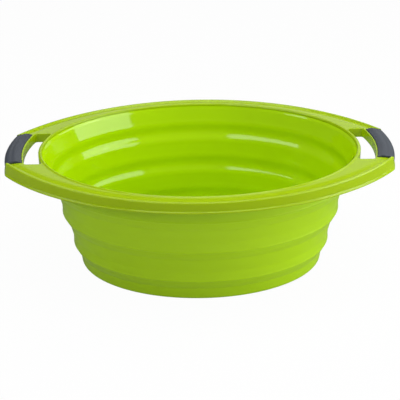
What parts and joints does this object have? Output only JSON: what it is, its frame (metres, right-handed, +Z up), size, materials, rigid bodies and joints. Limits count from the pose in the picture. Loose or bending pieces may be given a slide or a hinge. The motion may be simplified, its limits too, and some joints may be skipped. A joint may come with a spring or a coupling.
{
  "type": "folding oval basin",
  "caption": "Oval plastic wash basin with a soft stepped wall that folds flat, a wide hard rim, hand slots and soft grips at both ends.",
  "frame": {"origin": "on the floor that the basin stands on, under its middle, with the wall fully open", "axes": "+X through the two handles, +Y across the basin, +Z up out of the opening"},
  "size_m": [0.474, 0.3254, 0.152],
  "materials": {
    "lime_polypropylene": "glossy lime green hard plastic",
    "lime_elastomer": "satin lime green soft plastic",
    "slate_soft_touch": "matte slate grey soft grip"
  },
  "bodies": {
    "base": {"base_plate": "lime_polypropylene", "base_cup": "lime_elastomer"},
    "lower_band": {"fold_web_lower": "lime_elastomer", "wall_band_lower": "lime_elastomer"},
    "upper_band": {"fold_web_middle": "lime_elastomer", "wall_band_upper": "lime_elastomer"},
    "rim": {"fold_web_upper": "lime_elastomer", "wall_collar": "lime_elastomer", "rim_frame": "lime_polypropylene", "grip_right": "slate_soft_touch", "grip_left": "slate_soft_touch"}
  },
  "joints": [
    {"name": "lower_band_slide", "type": "slide", "parent": "base", "child": "lower_band", "axis": [0, 0, -1], "range_m": [0, 0.037], "deforming": ["fold_web_lower"]},
    {"name": "upper_band_slide", "type": "slide", "parent": "lower_band", "child": "upper_band", "axis": [0, 0, -1], "range_m": [0, 0.037], "deforming": ["fold_web_middle"]},
    {"name": "rim_slide", "type": "slide", "parent": "upper_band", "child": "rim", "axis": [0, 0, -1], "range_m": [0, 0.037], "deforming": ["fold_web_upper"]}
  ]
}
